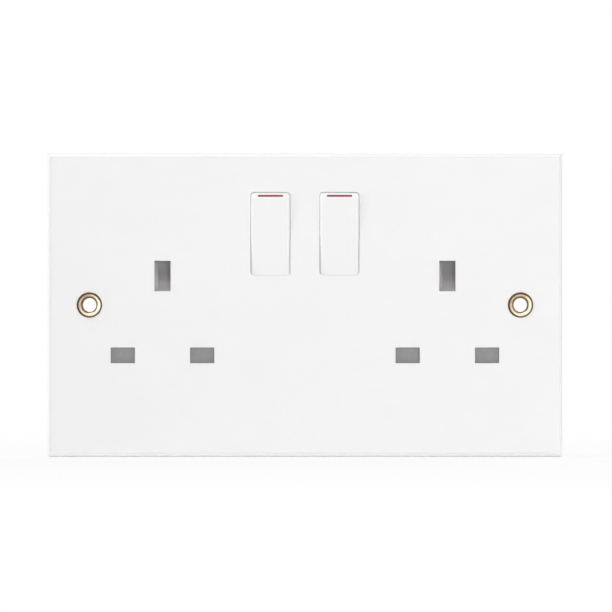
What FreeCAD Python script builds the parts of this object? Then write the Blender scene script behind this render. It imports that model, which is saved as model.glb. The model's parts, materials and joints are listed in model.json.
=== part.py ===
import FreeCAD, Part
import math
import os

# Twin switched socket outlet for British flat-pin plugs, in millimetres.
# X points right and Z points up, as seen from the room. Y points into the wall.
# The origin is midway between the two fixing screws, on the wall's surface.

# Front plate
plate_width = 144.0
plate_height = 85.0
plate_depth = 9.0
plate_face = 3.0
plate_wall = 2.0
plate_edge_round = 1.2
plate_corner_round = 0.7

# Fixing screws and the brass eyelets that line their holes
fixing_inset = 11.7
eyelet_bore_radius = 1.95
eyelet_tube_radius = 2.6
eyelet_flange_radius = 3.55
eyelet_flange_height = 0.55
eyelet_dish_depth = 0.9
eyelet_crown_radius = 2.75
eyelet_lip = 0.08
eyelet_hole_clearance = 0.1
eyelet_boss_radius = 5.0

# Plug pins and the plate's apertures for them
pin_pitch = 22.2
flat_pin_width = 6.35
flat_pin_thickness = 3.97
flat_pin_length = 17.7
flat_slot_clearance = 0.2
earth_pin_width = 3.97
earth_pin_height = 7.92
earth_pin_length = 22.73
earth_slot_clearance = 0.27
earth_slot_draft = 0.3
opening_rim_round = 0.12
socket_pitch = 79.7
flat_row_z = -14.1

# Rocker switches
rocker_pitch = 19.3
rocker_z = 19.9
rocker_opening_width = 11.05
rocker_opening_height = 23.2
rocker_opening_round = 1.0
rocker_side_gap = 0.08
rocker_end_gap = 0.12
rocker_facet_inset = 0.65
rocker_facet_depth = 1.3
rocker_proud = 0.4
rocker_pivot_depth = 4.2
rocker_tilt = 6.0
rocker_skin = 1.6
rocker_side_wall = 1.2
rocker_belly_depth = 1.6
rocker_belly_half = 3.2
rocker_shoulder_depth = 1.2
rocker_heel = 0.8
rocker_heel_inset = 0.3
rocker_belly_inset = 0.3
rocker_edge_round = 0.5
rocker_corner_round = 0.95
trunnion_radius = 1.0
trunnion_length = 1.6
trunnion_clearance = 0.05
bearing_wall = 1.2
bearing_half_height = 2.6
bearing_gap = 0.3

# Red flash let into the rocker's upper end
flash_length = 7.1
flash_height = 0.76
flash_thickness = 0.4
flash_round = 0.3
flash_setback = 0.3

# Plunger that the rocker carries, and its spring
boss_radius = 2.3
boss_length = 6.6
boss_bore_radius = 1.3
boss_bore_floor = 1.5
plunger_radius = 1.2
plunger_shank = 6.4
plunger_gap = 0.15
plunger_spring_radius = 1.0
plunger_spring_wire = 0.17
plunger_spring_turns = 6

# Rocking switch arm, its fulcrum and the contacts
arm_pivot_y = 7.3
arm_thickness = 1.0
arm_width = 6.0
arm_up = 10.6
arm_down = 7.5
arm_corner_round = 0.9
arm_tilt = 9.5
fulcrum_gap = 0.15
fulcrum_half_base = 1.5
contact_radius = 1.6
contact_height = 0.7
contact_reach = 9.0
contact_gap = 0.1

# Shutters
shutter_thickness = 2.0
shutter_gap = 0.3
shutter_overlap = 1.0
shutter_end_overlap = 0.6
shutter_half_width = 3.2
shutter_ramp_depth = 5.5
shutter_ramp_back = 1.5
shutter_spare_travel = 0.15
shutter_rib_gap = 0.3
shutter_rib = 1.2
shutter_rib_depth = 4.4
spring_slot_half = 1.6
spring_slot_top = -3.0
spring_radius = 0.95
spring_wire = 0.18
spring_turns = 8
spring_peg = 1.4
spring_peg_half = 1.2
spring_seat_gap = 0.05

# Rear moulding
rear_wall = 1.6
rear_floor = 2.0
rear_end_room = 0.15
rear_top_room = 1.5
wire_room = 2.9
rear_corner_round = 2.5
lug_room = 8.0
lug_notch_half = 7.5
well_wall = 1.2
well_gap = 0.6
switch_well_room = 2.95
switch_well_under = 3.8
switch_well_front = 2.5
earth_well_front = 4.2
ejector_mark_radius = 2.5
ejector_mark_depth = 0.2
ejector_mark_places = ((-36.0, -24.0), (36.0, -24.0), (-36.0, 24.0), (36.0, 24.0), (0.0, 13.0))
letter_pad_width = 6.0
letter_pad_height = 5.0
letter_pad_depth = 0.4
letter_pad_gap = 1.5

# Brass strip and the terminals formed on it
strip = 1.0
strip_width = 4.0
line_pin_room = 1.7
earth_pin_room = 0.67
strip_lap = 1.0
line_drop_gap = 6.0
slot_clearance = 0.15
clip_leaf = 0.8
clip_half_width = 3.0
clip_foot = 3.3
clip_grip = 1.72
clip_mouth = 2.8
clip_lead_share = 0.25
clip_grip_length = 2.0
earth_clip_front = 4.6
flat_clip_front = 1.2
earth_clip_half = 3.5
neutral_bar_z = -14.25
neutral_bar_height = 5.5
earth_bar_bottom = -1.0
earth_bar_height = 5.0
terminal_width = 7.5
terminal_front = 7.7
terminal_length = 8.0
tunnel_width = 4.6
tunnel_depth = 5.0
tunnel_front_wall = 1.2
tunnel_end_wall = 1.5
line_terminal_x = -7.0
neutral_terminal_x = 8.0
earth_terminal_x = 21.0
supply_terminal_top = -19.0
earth_terminal_bottom = 3.5
terminal_screw_radius = 1.75
terminal_screw_clearance = 0.05
terminal_screw_tip = 0.15
terminal_head_radius = 2.6
terminal_head_height = 1.5
terminal_head_gap = 0.3
screw_slot = 0.8
groove_half = 3.0
groove_length = 12.0
terminal_window_gap = 0.5

# Earth straps from the earth contacts to the eyelets
strap_thickness = 0.8
strap_ring_radius = 4.6
strap_half_width = 2.0
strap_clearance = 0.1
strap_foot_x = 4.4
strap_foot_bottom = 5.0
strap_foot_top = 11.0

# Screws that hold the two mouldings together
case_screw_places = ((-46.0, 26.0), (46.0, 26.0), (0.0, -6.3))
case_boss_radius = 3.0
case_pillar_radius = 4.0
case_pillar_front = 0.0
case_head_seat = 6.0
case_head_radius = 2.6
case_head_height = 1.8
case_shank_radius = 1.35
case_pilot_clearance = 0.05
case_shank_clearance = 0.25
case_screw_reach = 4.8
case_pilot_depth = 5.1
head_lap = 0.2

# Places worked out from the sizes above
front_y = -plate_depth
face_back_y = front_y + plate_face
eyelet_x = plate_width / 2 - fixing_inset
flat_slot_width = flat_pin_width + 2 * flat_slot_clearance
flat_slot_height = flat_pin_thickness + 2 * flat_slot_clearance
earth_slot_width = earth_pin_width + 2 * earth_slot_clearance
earth_slot_height = earth_pin_height + 2 * earth_slot_clearance
earth_row_z = flat_row_z + pin_pitch
rocker_pivot_y = front_y + rocker_pivot_depth
rocker_half_width = rocker_opening_width / 2 - rocker_side_gap
opening_swing = math.hypot(rocker_pivot_depth, rocker_opening_height / 2)
rocker_swing = opening_swing - rocker_end_gap
line_layer_y = front_y + flat_pin_length + line_pin_room
back_layer_y = front_y + earth_pin_length + earth_pin_room
rear_floor_y = back_layer_y + strip
rear_back_y = rear_floor_y + rear_floor
rear_end_x = (socket_pitch + pin_pitch) / 2 + clip_half_width + well_gap + well_wall
rear_half_width = rear_end_x + rear_end_room + rear_wall
rear_bottom = supply_terminal_top - terminal_length - wire_room - rear_wall
rear_top = rocker_z + contact_reach + strip_width / 2 + rear_top_room + rear_wall
lug_notch_x = eyelet_x - lug_room
switch_well_half = rocker_pitch / 2 + arm_width / 2 + switch_well_room
switch_well_bottom = rocker_z - arm_down - switch_well_under
shutter_front_y = face_back_y + shutter_gap
shutter_back_y = shutter_front_y + shutter_thickness
land_top = flat_row_z + flat_slot_height / 2 + shutter_overlap
land_bottom = flat_row_z - flat_slot_height / 2 - shutter_overlap
land_reach = pin_pitch / 2 + flat_slot_width / 2 + shutter_end_overlap
rear_front_y = shutter_back_y + shutter_gap
tunnel_front = terminal_front + tunnel_front_wall
tunnel_back = tunnel_front + tunnel_depth
boss_root = rocker_pivot_depth + rocker_proud - rocker_skin

SIDES = (("left", -1), ("right", 1))
ALONG_X = FreeCAD.Vector(1, 0, 0)
ALONG_Y = FreeCAD.Vector(0, 1, 0)


def block(x0, x1, y0, y1, z0, z1):
    """A box between two corners."""
    return Part.makeBox(x1 - x0, y1 - y0, z1 - z0, FreeCAD.Vector(x0, y0, z0))


def round_bar(radius, x, z, y0, y1):
    """A cylinder along Y."""
    return Part.makeCylinder(radius, y1 - y0, FreeCAD.Vector(x, y0, z), ALONG_Y)


def side_prism(points, x0, x1):
    """A solid whose outline is given by (y, z) points, running along X."""
    corners = [FreeCAD.Vector(x0, y, z) for y, z in points]
    outline = Part.makePolygon(corners + corners[:1])
    return Part.Face(outline).extrude(FreeCAD.Vector(x1 - x0, 0, 0))


def plan_prism(points, z0, z1):
    """A solid whose outline is given by (x, y) points, running along Z."""
    corners = [FreeCAD.Vector(x, y, z0) for x, y in points]
    outline = Part.makePolygon(corners + corners[:1])
    return Part.Face(outline).extrude(FreeCAD.Vector(0, 0, z1 - z0))


def front_prism(points, y0, y1):
    """A solid whose outline is given by (x, z) points, running along Y."""
    corners = [FreeCAD.Vector(x, y0, z) for x, z in points]
    outline = Part.makePolygon(corners + corners[:1])
    return Part.Face(outline).extrude(FreeCAD.Vector(0, y1 - y0, 0))


def quarter_round(start, end, steep_start):
    """An arc between two (radius, y) points that leaves the first, or meets the second, along Y."""
    bulge = math.sqrt(0.5)
    if steep_start:
        middle = (end[0] - (end[0] - start[0]) * bulge, start[1] + (end[1] - start[1]) * bulge)
    else:
        middle = (start[0] + (end[0] - start[0]) * bulge, end[1] + (start[1] - end[1]) * bulge)
    points = [FreeCAD.Vector(r, y, 0) for r, y in (start, middle, end)]
    return Part.Arc(*points).toShape()


def turned(arcs, corners, x, z):
    """A solid of revolution about a line along Y, from arcs and (radius, y) corners that close them."""
    lines = Part.makePolygon([FreeCAD.Vector(r, y, 0) for r, y in corners])
    outline = Part.Wire(Part.__sortEdges__(arcs + lines.Edges))
    whole = Part.Face(outline).revolve(FreeCAD.Vector(0, 0, 0), ALONG_Y, 360)
    whole.translate(FreeCAD.Vector(x, 0, z))
    return whole


def join(shapes):
    """One solid from several that overlap."""
    whole = shapes[0]
    for shape in shapes[1:]:
        whole = whole.fuse(shape)
    return whole.removeSplitter()


def group(shapes):
    """Separate solids that share one name."""
    return Part.makeCompound(shapes)


def edges_along(shape, axis, test):
    """Straight edges that run along X, Y or Z and pass a test of their middle."""
    found = []
    for edge in shape.Edges:
        start, end = edge.Vertexes[0].Point, edge.Vertexes[-1].Point
        run = end - start
        across = [abs(run[i]) for i in range(3) if i != axis]
        if abs(run[axis]) > max(across) * 1000 + 1e-6 and test((start + end) / 2):
            found.append(edge)
    return found


def coil(radius, wire, turns, length):
    """A round-wire spring about Z that starts at the height of zero."""
    helix = Part.makeHelix((length - 2 * wire) / turns, length - 2 * wire, radius)
    helix.translate(FreeCAD.Vector(0, 0, wire))
    section = Part.makeCircle(wire, FreeCAD.Vector(radius, 0, wire), ALONG_Y)
    return Part.Wire(helix).makePipeShell([Part.Wire([section])], True, True)


def socket_x(sign):
    return sign * socket_pitch / 2


def neutral_x(sign):
    return socket_x(sign) - pin_pitch / 2


def line_x(sign):
    return socket_x(sign) + pin_pitch / 2


def rocker_x(sign):
    return sign * rocker_pitch / 2


def rocker_opening(x):
    """The plate's hole for one rocker, whose ends curve about the rocker's pivot."""
    left, right = x - rocker_opening_width / 2, x + rocker_opening_width / 2
    drum = Part.makeCylinder(opening_swing, right - left,
                             FreeCAD.Vector(left, rocker_pivot_y, rocker_z), ALONG_X)
    hole = drum.common(block(left, right, front_y - 1, face_back_y + 1,
                             rocker_z - opening_swing, rocker_z + opening_swing))
    ends = [edge for edge in hole.Edges if isinstance(edge.Curve, Part.Circle)]
    return hole.makeFillet(rocker_opening_round, ends)


def pin_slots(sign):
    """The three apertures of one socket; the earth aperture's left wall leans in for the mould."""
    slots = []
    for x in (neutral_x(sign), line_x(sign)):
        slots.append(block(x - flat_slot_width / 2, x + flat_slot_width / 2, front_y - 1, face_back_y + 1,
                           flat_row_z - flat_slot_height / 2, flat_row_z + flat_slot_height / 2))
    x = socket_x(sign)
    wide = earth_slot_width / 2
    lean = earth_slot_draft / (face_back_y - front_y)
    outline = [(x - wide - lean, front_y - 1), (x + wide, front_y - 1),
               (x + wide, face_back_y + 1), (x - wide + earth_slot_draft + lean, face_back_y + 1)]
    half_height = earth_slot_height / 2
    slots.append(plan_prism(outline, earth_row_z - half_height, earth_row_z + half_height))
    return slots


def rocker_bearings(x):
    """Two ears behind the face, one each side of a rocker, with their bores."""
    ears = []
    inner = rocker_opening_width / 2 + bearing_gap
    back = rocker_pivot_y + trunnion_radius + bearing_wall
    for way in (-1, 1):
        near, far = sorted((x + way * inner, x + way * (inner + bearing_wall)))
        ears.append(block(near, far, face_back_y, back,
                          rocker_z - bearing_half_height, rocker_z + bearing_half_height))
    reach = inner + bearing_wall + 1
    bore = Part.makeCylinder(trunnion_radius + trunnion_clearance, 2 * reach,
                             FreeCAD.Vector(x - reach, rocker_pivot_y, rocker_z), ALONG_X)
    return [ear.cut(bore) for ear in ears]


def shutter_guides(sign):
    """Two ribs that guide a shutter's stem, and the peg that its spring stands on."""
    x = socket_x(sign)
    inner = shutter_half_width + shutter_rib_gap
    top = earth_row_z + earth_slot_height / 2 + shutter_overlap
    bottom = land_top + 2 * shutter_rib_gap + shutter_rib
    parts = []
    for way in (-1, 1):
        near, far = sorted((x + way * inner, x + way * (inner + shutter_rib)))
        parts.append(block(near, far, face_back_y, face_back_y + shutter_rib_depth, bottom, top))
    peg_bottom = land_bottom + shutter_gap
    parts.append(block(x - spring_peg_half, x + spring_peg_half, face_back_y,
                       shutter_back_y + shutter_gap / 2, peg_bottom, peg_bottom + spring_peg))
    return parts


def make_front_plate():
    half_w, half_h = plate_width / 2, plate_height / 2
    body = block(-half_w, half_w, front_y, 0, -half_h, half_h)
    body = body.makeFillet(plate_corner_round, edges_along(body, 1, lambda p: True))
    rim = [edge for edge in body.Edges if all(abs(v.Point.y - front_y) < 1e-6 for v in edge.Vertexes)]
    body = body.makeFillet(plate_edge_round, rim)
    body = body.cut(block(-half_w + plate_wall, half_w - plate_wall, face_back_y, 1,
                          -half_h + plate_wall, half_h - plate_wall))
    additions = [body]
    for _, sign in SIDES:
        additions.append(round_bar(eyelet_boss_radius, sign * eyelet_x, 0, face_back_y, -strap_thickness))
        additions += rocker_bearings(rocker_x(sign))
        additions += shutter_guides(sign)
    for x, z in case_screw_places:
        additions.append(round_bar(case_boss_radius, x, z, face_back_y, case_pillar_front))
    body = join(additions)
    cuts = []
    eyelet_hole = eyelet_tube_radius + eyelet_hole_clearance
    for _, sign in SIDES:
        cuts += pin_slots(sign)
        cuts.append(rocker_opening(rocker_x(sign)))
        cuts.append(round_bar(eyelet_hole, sign * eyelet_x, 0, front_y - 1, 1))
    pilot = case_shank_radius + case_pilot_clearance
    for x, z in case_screw_places:
        cuts.append(round_bar(pilot, x, z, case_pillar_front - case_pilot_depth, case_pillar_front + 1))
    for cut in cuts:
        body = body.cut(cut)
    return body.makeFillet(opening_rim_round, opening_rims(body))


def opening_rims(body):
    """The edges round the apertures and the rocker openings in the plate's front face."""
    highest = plate_height / 2 - plate_edge_round
    rims = []
    for edge in body.Edges:
        middle = edge.BoundBox.Center
        in_face = all(abs(v.Point.y - front_y) < 1e-6 for v in edge.Vertexes)
        if in_face and abs(middle.x) < eyelet_x - eyelet_boss_radius and abs(middle.z) < highest - 1e-6:
            rims.append(edge)
    return rims


def make_eyelet(sign):
    """A pressed tube whose front end is rolled over into a rounded flange."""
    top = front_y - eyelet_flange_height
    throat = top + eyelet_dish_depth
    edge = front_y - eyelet_lip
    inner = quarter_round((eyelet_bore_radius, throat), (eyelet_crown_radius, top), True)
    outer = quarter_round((eyelet_crown_radius, top), (eyelet_flange_radius, edge), False)
    corners = [(eyelet_flange_radius, edge), (eyelet_flange_radius, front_y), (eyelet_tube_radius, front_y),
               (eyelet_tube_radius, 0), (eyelet_bore_radius, 0), (eyelet_bore_radius, throat)]
    return turned([inner, outer], corners, sign * eyelet_x, 0)


def tilt_rocker(shape, sign):
    """Carry a piece drawn about the rocker's pivot to its place, switched on."""
    shape.rotate(FreeCAD.Vector(0, 0, 0), ALONG_X, rocker_tilt)
    shape.translate(FreeCAD.Vector(rocker_x(sign), rocker_pivot_y, rocker_z))
    return shape


def on_swing(depth, side):
    """A point of the rocker's curved upper (1) or lower (-1) end, about the pivot, as (y, z)."""
    return depth, side * math.sqrt(rocker_swing ** 2 - depth ** 2)


def rocker_facet():
    """The sloping facet above the rocker's face, from its front corner back, as two (y, z) points."""
    front = -(rocker_pivot_depth + rocker_proud)
    return (front, on_swing(front, 1)[1] - rocker_facet_inset), on_swing(front + rocker_facet_depth, 1)


def rocker_front():
    """The rocker ahead of its shoulder: a slice of a drum with rounded corners and a sloping facet."""
    corner, facet_end = rocker_facet()
    left, right = -rocker_half_width, rocker_half_width
    drum = Part.makeCylinder(rocker_swing, right - left, FreeCAD.Vector(left, 0, 0), ALONG_X)
    body = drum.common(block(left, right, corner[0], -rocker_shoulder_depth, -rocker_swing, rocker_swing))
    ends = [edge for edge in body.Edges if isinstance(edge.Curve, Part.Circle)]
    body = body.makeFillet(rocker_corner_round, ends)
    ahead, above = corner[0] - 1, rocker_swing + 1
    outside = [corner, facet_end, (facet_end[0], above), (ahead, above), (ahead, corner[1])]
    body = body.cut(side_prism(outside, left - 1, right + 1))
    rim = [edge for edge in body.Edges if all(abs(v.Point.y - corner[0]) < 1e-6 for v in edge.Vertexes)]
    return body.makeFillet(rocker_edge_round, rim)


def rocker_belly():
    """The rocker behind its shoulder, set in all round, which narrows towards the pivot."""
    depth, height = on_swing(-rocker_shoulder_depth, 1)
    height -= rocker_belly_inset
    half = [(depth, height), (depth + rocker_heel, height - rocker_heel_inset),
            (rocker_belly_depth, rocker_belly_half)]
    outline = half + [(y, -z) for y, z in reversed(half)]
    half_width = rocker_half_width - rocker_belly_inset
    return side_prism(outline, -half_width, half_width)


def flash_shape():
    """The red strip let into the rocker's sloping facet."""
    corner, facet_end = rocker_facet()
    slope = math.atan2(facet_end[1] - corner[1], facet_end[0] - corner[0])
    strip_box = block(-flash_length / 2, flash_length / 2, flash_setback, flash_setback + flash_height,
                      -flash_thickness, 0)
    strip_box = strip_box.makeFillet(flash_round, edges_along(strip_box, 2, lambda p: True))
    strip_box.rotate(FreeCAD.Vector(0, 0, 0), ALONG_X, math.degrees(slope))
    strip_box.translate(FreeCAD.Vector(0, *corner))
    return strip_box


def make_rocker(sign):
    corner, _ = rocker_facet()
    body = join([rocker_front(), rocker_belly()])
    inner_x = rocker_half_width - rocker_side_wall
    inner_z = corner[1] - rocker_skin
    body = body.cut(block(-inner_x, inner_x, corner[0] + rocker_skin, rocker_belly_depth + 1,
                          -inner_z, inner_z))
    boss = Part.makeCylinder(boss_radius, boss_root + boss_length,
                             FreeCAD.Vector(0, -boss_root, 0), ALONG_Y)
    bore = Part.makeCylinder(boss_bore_radius, boss_bore_floor + boss_length + 1,
                             FreeCAD.Vector(0, -boss_bore_floor, 0), ALONG_Y)
    stubs = []
    for way in (-1, 1):
        stubs.append(Part.makeCylinder(trunnion_radius, rocker_side_wall + trunnion_length,
                                       FreeCAD.Vector(way * inner_x, 0, 0), FreeCAD.Vector(way, 0, 0)))
    body = join([body, boss] + stubs).cut(bore)
    body = body.cut(flash_shape())
    return tilt_rocker(body, sign)


def make_flash(sign):
    return tilt_rocker(flash_shape(), sign)


def plunger_tip():
    """How far the plunger's nose stands behind the rocker's pivot."""
    return arm_pivot_y - arm_thickness - plunger_gap - rocker_pivot_y


def make_plunger(sign):
    nose = plunger_tip() - plunger_radius
    shank = Part.makeCylinder(plunger_radius, plunger_shank,
                              FreeCAD.Vector(0, nose - plunger_shank, 0), ALONG_Y)
    tip = Part.makeSphere(plunger_radius, FreeCAD.Vector(0, nose, 0))
    return tilt_rocker(join([shank, tip]), sign)


def make_plunger_spring(sign):
    start = -boss_bore_floor + spring_seat_gap
    end = plunger_tip() - plunger_radius - plunger_shank - spring_seat_gap
    spring = coil(plunger_spring_radius, plunger_spring_wire, plunger_spring_turns, end - start)
    spring.rotate(FreeCAD.Vector(0, 0, 0), ALONG_X, -90)
    spring.translate(FreeCAD.Vector(0, start, 0))
    return tilt_rocker(spring, sign)


def tilt_arm(shape, sign):
    """Carry a piece drawn about the fulcrum to its place, with the contacts closed."""
    shape.rotate(FreeCAD.Vector(0, 0, 0), ALONG_X, -arm_tilt)
    shape.translate(FreeCAD.Vector(rocker_x(sign), arm_pivot_y, rocker_z))
    return shape


def make_switch_arm(sign):
    arm = block(-arm_width / 2, arm_width / 2, -arm_thickness, 0, -arm_down, arm_up)
    arm = arm.makeFillet(arm_corner_round, edges_along(arm, 1, lambda p: True))
    return tilt_arm(arm, sign)


def make_arm_contact(sign):
    button = round_bar(contact_radius, 0, contact_reach, 0, contact_height)
    return tilt_arm(button, sign)


def make_fixed_contact(sign):
    button = round_bar(contact_radius, 0, contact_reach, contact_height + contact_gap, contact_reach)
    button = tilt_arm(button, sign)
    reach = 2 * contact_reach
    beyond = block(rocker_x(sign) - reach, rocker_x(sign) + reach, line_layer_y, line_layer_y + reach,
                   rocker_z - reach, rocker_z + reach)
    return button.cut(beyond)


def make_shutter(sign):
    x = socket_x(sign)
    ramp_bottom = earth_row_z - earth_slot_height / 2
    ramp_top = earth_row_z + earth_slot_height / 2
    ramp_deep = shutter_front_y + shutter_ramp_depth
    wedge = side_prism([
        (shutter_front_y, ramp_bottom),
        (ramp_deep, ramp_top),
        (ramp_deep + shutter_ramp_back, ramp_top),
        (ramp_deep + shutter_ramp_back, ramp_top - shutter_ramp_back),
        (shutter_back_y, ramp_bottom - shutter_ramp_back),
        (shutter_front_y, ramp_bottom - shutter_ramp_back),
    ], x - shutter_half_width, x + shutter_half_width)
    stem = block(x - shutter_half_width, x + shutter_half_width, shutter_front_y, shutter_back_y,
                 land_bottom, ramp_bottom)
    land = block(x - land_reach, x + land_reach, shutter_front_y, shutter_back_y, land_bottom, land_top)
    land = land.makeFillet(shutter_overlap, edges_along(land, 1, lambda p: True))
    slot = block(x - spring_slot_half, x + spring_slot_half, shutter_front_y - 1, shutter_back_y + 1,
                 land_bottom - 1, spring_slot_top)
    return join([wedge, stem, land]).cut(slot)


def shutter_spring_bottom():
    return land_bottom + shutter_gap + spring_peg


def make_shutter_spring(sign):
    length = spring_slot_top - shutter_spring_bottom() - 2 * spring_seat_gap
    spring = coil(spring_radius, spring_wire, spring_turns, length)
    middle = (shutter_front_y + shutter_back_y) / 2
    spring.translate(FreeCAD.Vector(socket_x(sign), middle, shutter_spring_bottom() + spring_seat_gap))
    return spring


def rear_outline(inset):
    """The rear moulding's outline with its two notches for the box lugs, drawn in by inset."""
    right = rear_half_width - inset
    notch_x = lug_notch_x - inset
    notch = lug_notch_half + inset
    bottom, top = rear_bottom + inset, rear_top - inset
    half = [(right, bottom), (right, -notch), (notch_x, -notch),
            (notch_x, notch), (right, notch), (right, top)]
    return half + [(-x, z) for x, z in reversed(half)]


def clip_profile(mouth_y, foot_y):
    """Both leaves of a spring clip as outlines of (depth, half opening) points."""
    grip = mouth_y + clip_lead_share * (foot_y - mouth_y)
    inner = [(foot_y, clip_foot - clip_leaf), (grip + clip_grip_length, clip_grip), (grip, clip_grip),
             (mouth_y, clip_mouth)]
    outer = [(y, w + clip_leaf) for y, w in reversed(inner)]
    return inner + outer


def flat_clip(x, foot_y):
    """Two leaves above and below a flat pin, standing on a foot."""
    upper = [(y, flat_row_z + w) for y, w in clip_profile(flat_clip_front, foot_y)]
    lower = [(y, flat_row_z - w) for y, w in clip_profile(flat_clip_front, foot_y)]
    left, right = x - clip_half_width, x + clip_half_width
    foot = block(left, right, foot_y, foot_y + strip, flat_row_z - clip_foot, flat_row_z + clip_foot)
    return [side_prism(upper, left, right), side_prism(lower, left, right), foot]


def earth_clip(x):
    """Two leaves left and right of the earth pin, standing on a foot."""
    profile = clip_profile(earth_clip_front, back_layer_y)
    bottom, top = earth_row_z - earth_clip_half, earth_row_z + earth_clip_half
    right = [(x + w, y) for y, w in profile]
    left = [(x - w, y) for y, w in profile]
    foot = strap_foot_x + strap_thickness
    return [plan_prism(right, bottom, top), plan_prism(left, bottom, top),
            block(x - foot, x + foot, back_layer_y, rear_floor_y, earth_bar_bottom, top)]


def terminal(x, z0, z1, entry_up):
    """A box terminal with a blind wire tunnel that opens upwards or downwards."""
    body = block(x - terminal_width / 2, x + terminal_width / 2, terminal_front, rear_floor_y, z0, z1)
    low, high = (z0 + tunnel_end_wall, z1 + 1) if entry_up else (z0 - 1, z1 - tunnel_end_wall)
    tunnel = block(x - tunnel_width / 2, x + tunnel_width / 2, tunnel_front, tunnel_back, low, high)
    hole = round_bar(terminal_screw_radius + terminal_screw_clearance, x, (z0 + z1) / 2,
                     tunnel_back - 1, rear_floor_y + 1)
    return body.cut(tunnel).cut(hole)


def supply_span():
    return supply_terminal_top - terminal_length, supply_terminal_top


def earth_span():
    return earth_terminal_bottom, earth_terminal_bottom + terminal_length


def line_bar_strips():
    """The line bar's flat parts as (x0, x1, z0, z1)."""
    half = strip_width / 2
    end = rocker_pitch / 2 + arm_width / 2
    return [
        (-end, end, rocker_z - half, rocker_z + half),
        (line_terminal_x - half, line_terminal_x + half, supply_terminal_top - strip_lap, rocker_z),
    ]


def line_contact_strips(sign):
    """The flat parts of one line contact, from under its fixed contact to its clip."""
    pad = rocker_z + contact_reach
    half = strip_width / 2
    drop = earth_terminal_x + line_drop_gap
    near, far = sorted((rocker_x(sign) - sign * contact_radius, sign * (drop + strip_width)))
    drop_near, drop_far = sorted((sign * drop, sign * (drop + strip_width)))
    clip_top = flat_row_z + clip_foot
    strips = [(near, far, pad - half, pad + half)]
    if sign < 0:
        strips.append((drop_near, drop_far, clip_top - strip_lap, pad))
    else:
        turn = earth_bar_bottom - slot_clearance - strip_width
        strips.append((drop_near, drop_far, turn - half, pad))
        strips.append((drop_near, line_x(sign) + half, turn - half, turn + half))
        strips.append((line_x(sign) - half, line_x(sign) + half, clip_top - strip_lap, turn))
    return strips


def neutral_bar_strips():
    half = neutral_bar_height / 2
    span = (neutral_x(-1) - clip_half_width, neutral_x(1) + clip_half_width)
    tab = strip_width / 2
    return [
        (span[0], span[1], neutral_bar_z - half, neutral_bar_z + half),
        (neutral_terminal_x - tab, neutral_terminal_x + tab,
         supply_terminal_top - strip_lap, neutral_bar_z),
    ]


def earth_bar_strips():
    end = socket_pitch / 2 + strap_foot_x
    return [(-end, end, earth_bar_bottom, earth_bar_bottom + earth_bar_height)]


def strips_solid(strips, y0, growth):
    return [block(x0 - growth, x1 + growth, y0 - growth, y0 + strip + growth, z0 - growth, z1 + growth)
            for x0, x1, z0, z1 in strips]


def make_line_bar():
    parts = strips_solid(line_bar_strips(), line_layer_y, 0)
    parts.append(terminal(line_terminal_x, *supply_span(), False))
    apex = arm_pivot_y + fulcrum_gap
    for _, sign in SIDES:
        x = rocker_x(sign)
        ridge = [(line_layer_y, rocker_z - fulcrum_half_base), (apex, rocker_z),
                 (line_layer_y, rocker_z + fulcrum_half_base)]
        parts.append(side_prism(ridge, x - arm_width / 2, x + arm_width / 2))
    return join(parts)


def make_line_contact(sign):
    strips = strips_solid(line_contact_strips(sign), line_layer_y, 0)
    return join(strips + flat_clip(line_x(sign), line_layer_y))


def make_neutral_bar():
    parts = strips_solid(neutral_bar_strips(), back_layer_y, 0)
    parts.append(terminal(neutral_terminal_x, *supply_span(), False))
    for _, sign in SIDES:
        parts += flat_clip(neutral_x(sign), back_layer_y)
    return join(parts)


def make_earth_bar():
    parts = strips_solid(earth_bar_strips(), back_layer_y, 0)
    for _, sign in SIDES:
        parts += earth_clip(socket_x(sign))
        parts.append(terminal(sign * earth_terminal_x, *earth_span(), True))
    return join(parts)


def strap_plates(sign, growth):
    """The flat part of an earth strap, from its ring inwards to its leg."""
    outer = sign * eyelet_x
    leg = sign * (socket_pitch / 2 + strap_foot_x)
    run_x = sorted((outer, leg))
    step_x = sorted((leg, leg + sign * strap_half_width * 2))
    low, high = -strap_half_width, strap_half_width
    y0, y1 = -strap_thickness - growth, growth
    return [block(run_x[0] - growth, run_x[1] + growth, y0, y1, low - growth, high + growth),
            block(step_x[0] - growth, step_x[1] + growth, y0, y1, low - growth, strap_foot_top + growth)]


def make_earth_strap(sign):
    ring = round_bar(strap_ring_radius, sign * eyelet_x, 0, -strap_thickness, 0)
    near = socket_pitch / 2 + strap_foot_x
    leg_x = sorted((sign * near, sign * (near + strap_thickness)))
    leg = block(leg_x[0], leg_x[1], -strap_thickness, back_layer_y, strap_foot_bottom, strap_foot_top)
    hole = round_bar(eyelet_tube_radius + strap_clearance, sign * eyelet_x, 0, -strap_thickness - 1, 1)
    return join([ring, leg] + strap_plates(sign, 0)).cut(hole)


def well(x0, x1, z0, z1, front):
    """Four walls round a rectangular space, from a depth back to the floor."""
    outer = block(x0 - well_wall, x1 + well_wall, front, rear_floor_y, z0 - well_wall, z1 + well_wall)
    return outer.cut(block(x0, x1, front - 1, rear_floor_y + 1, z0, z1))


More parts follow.
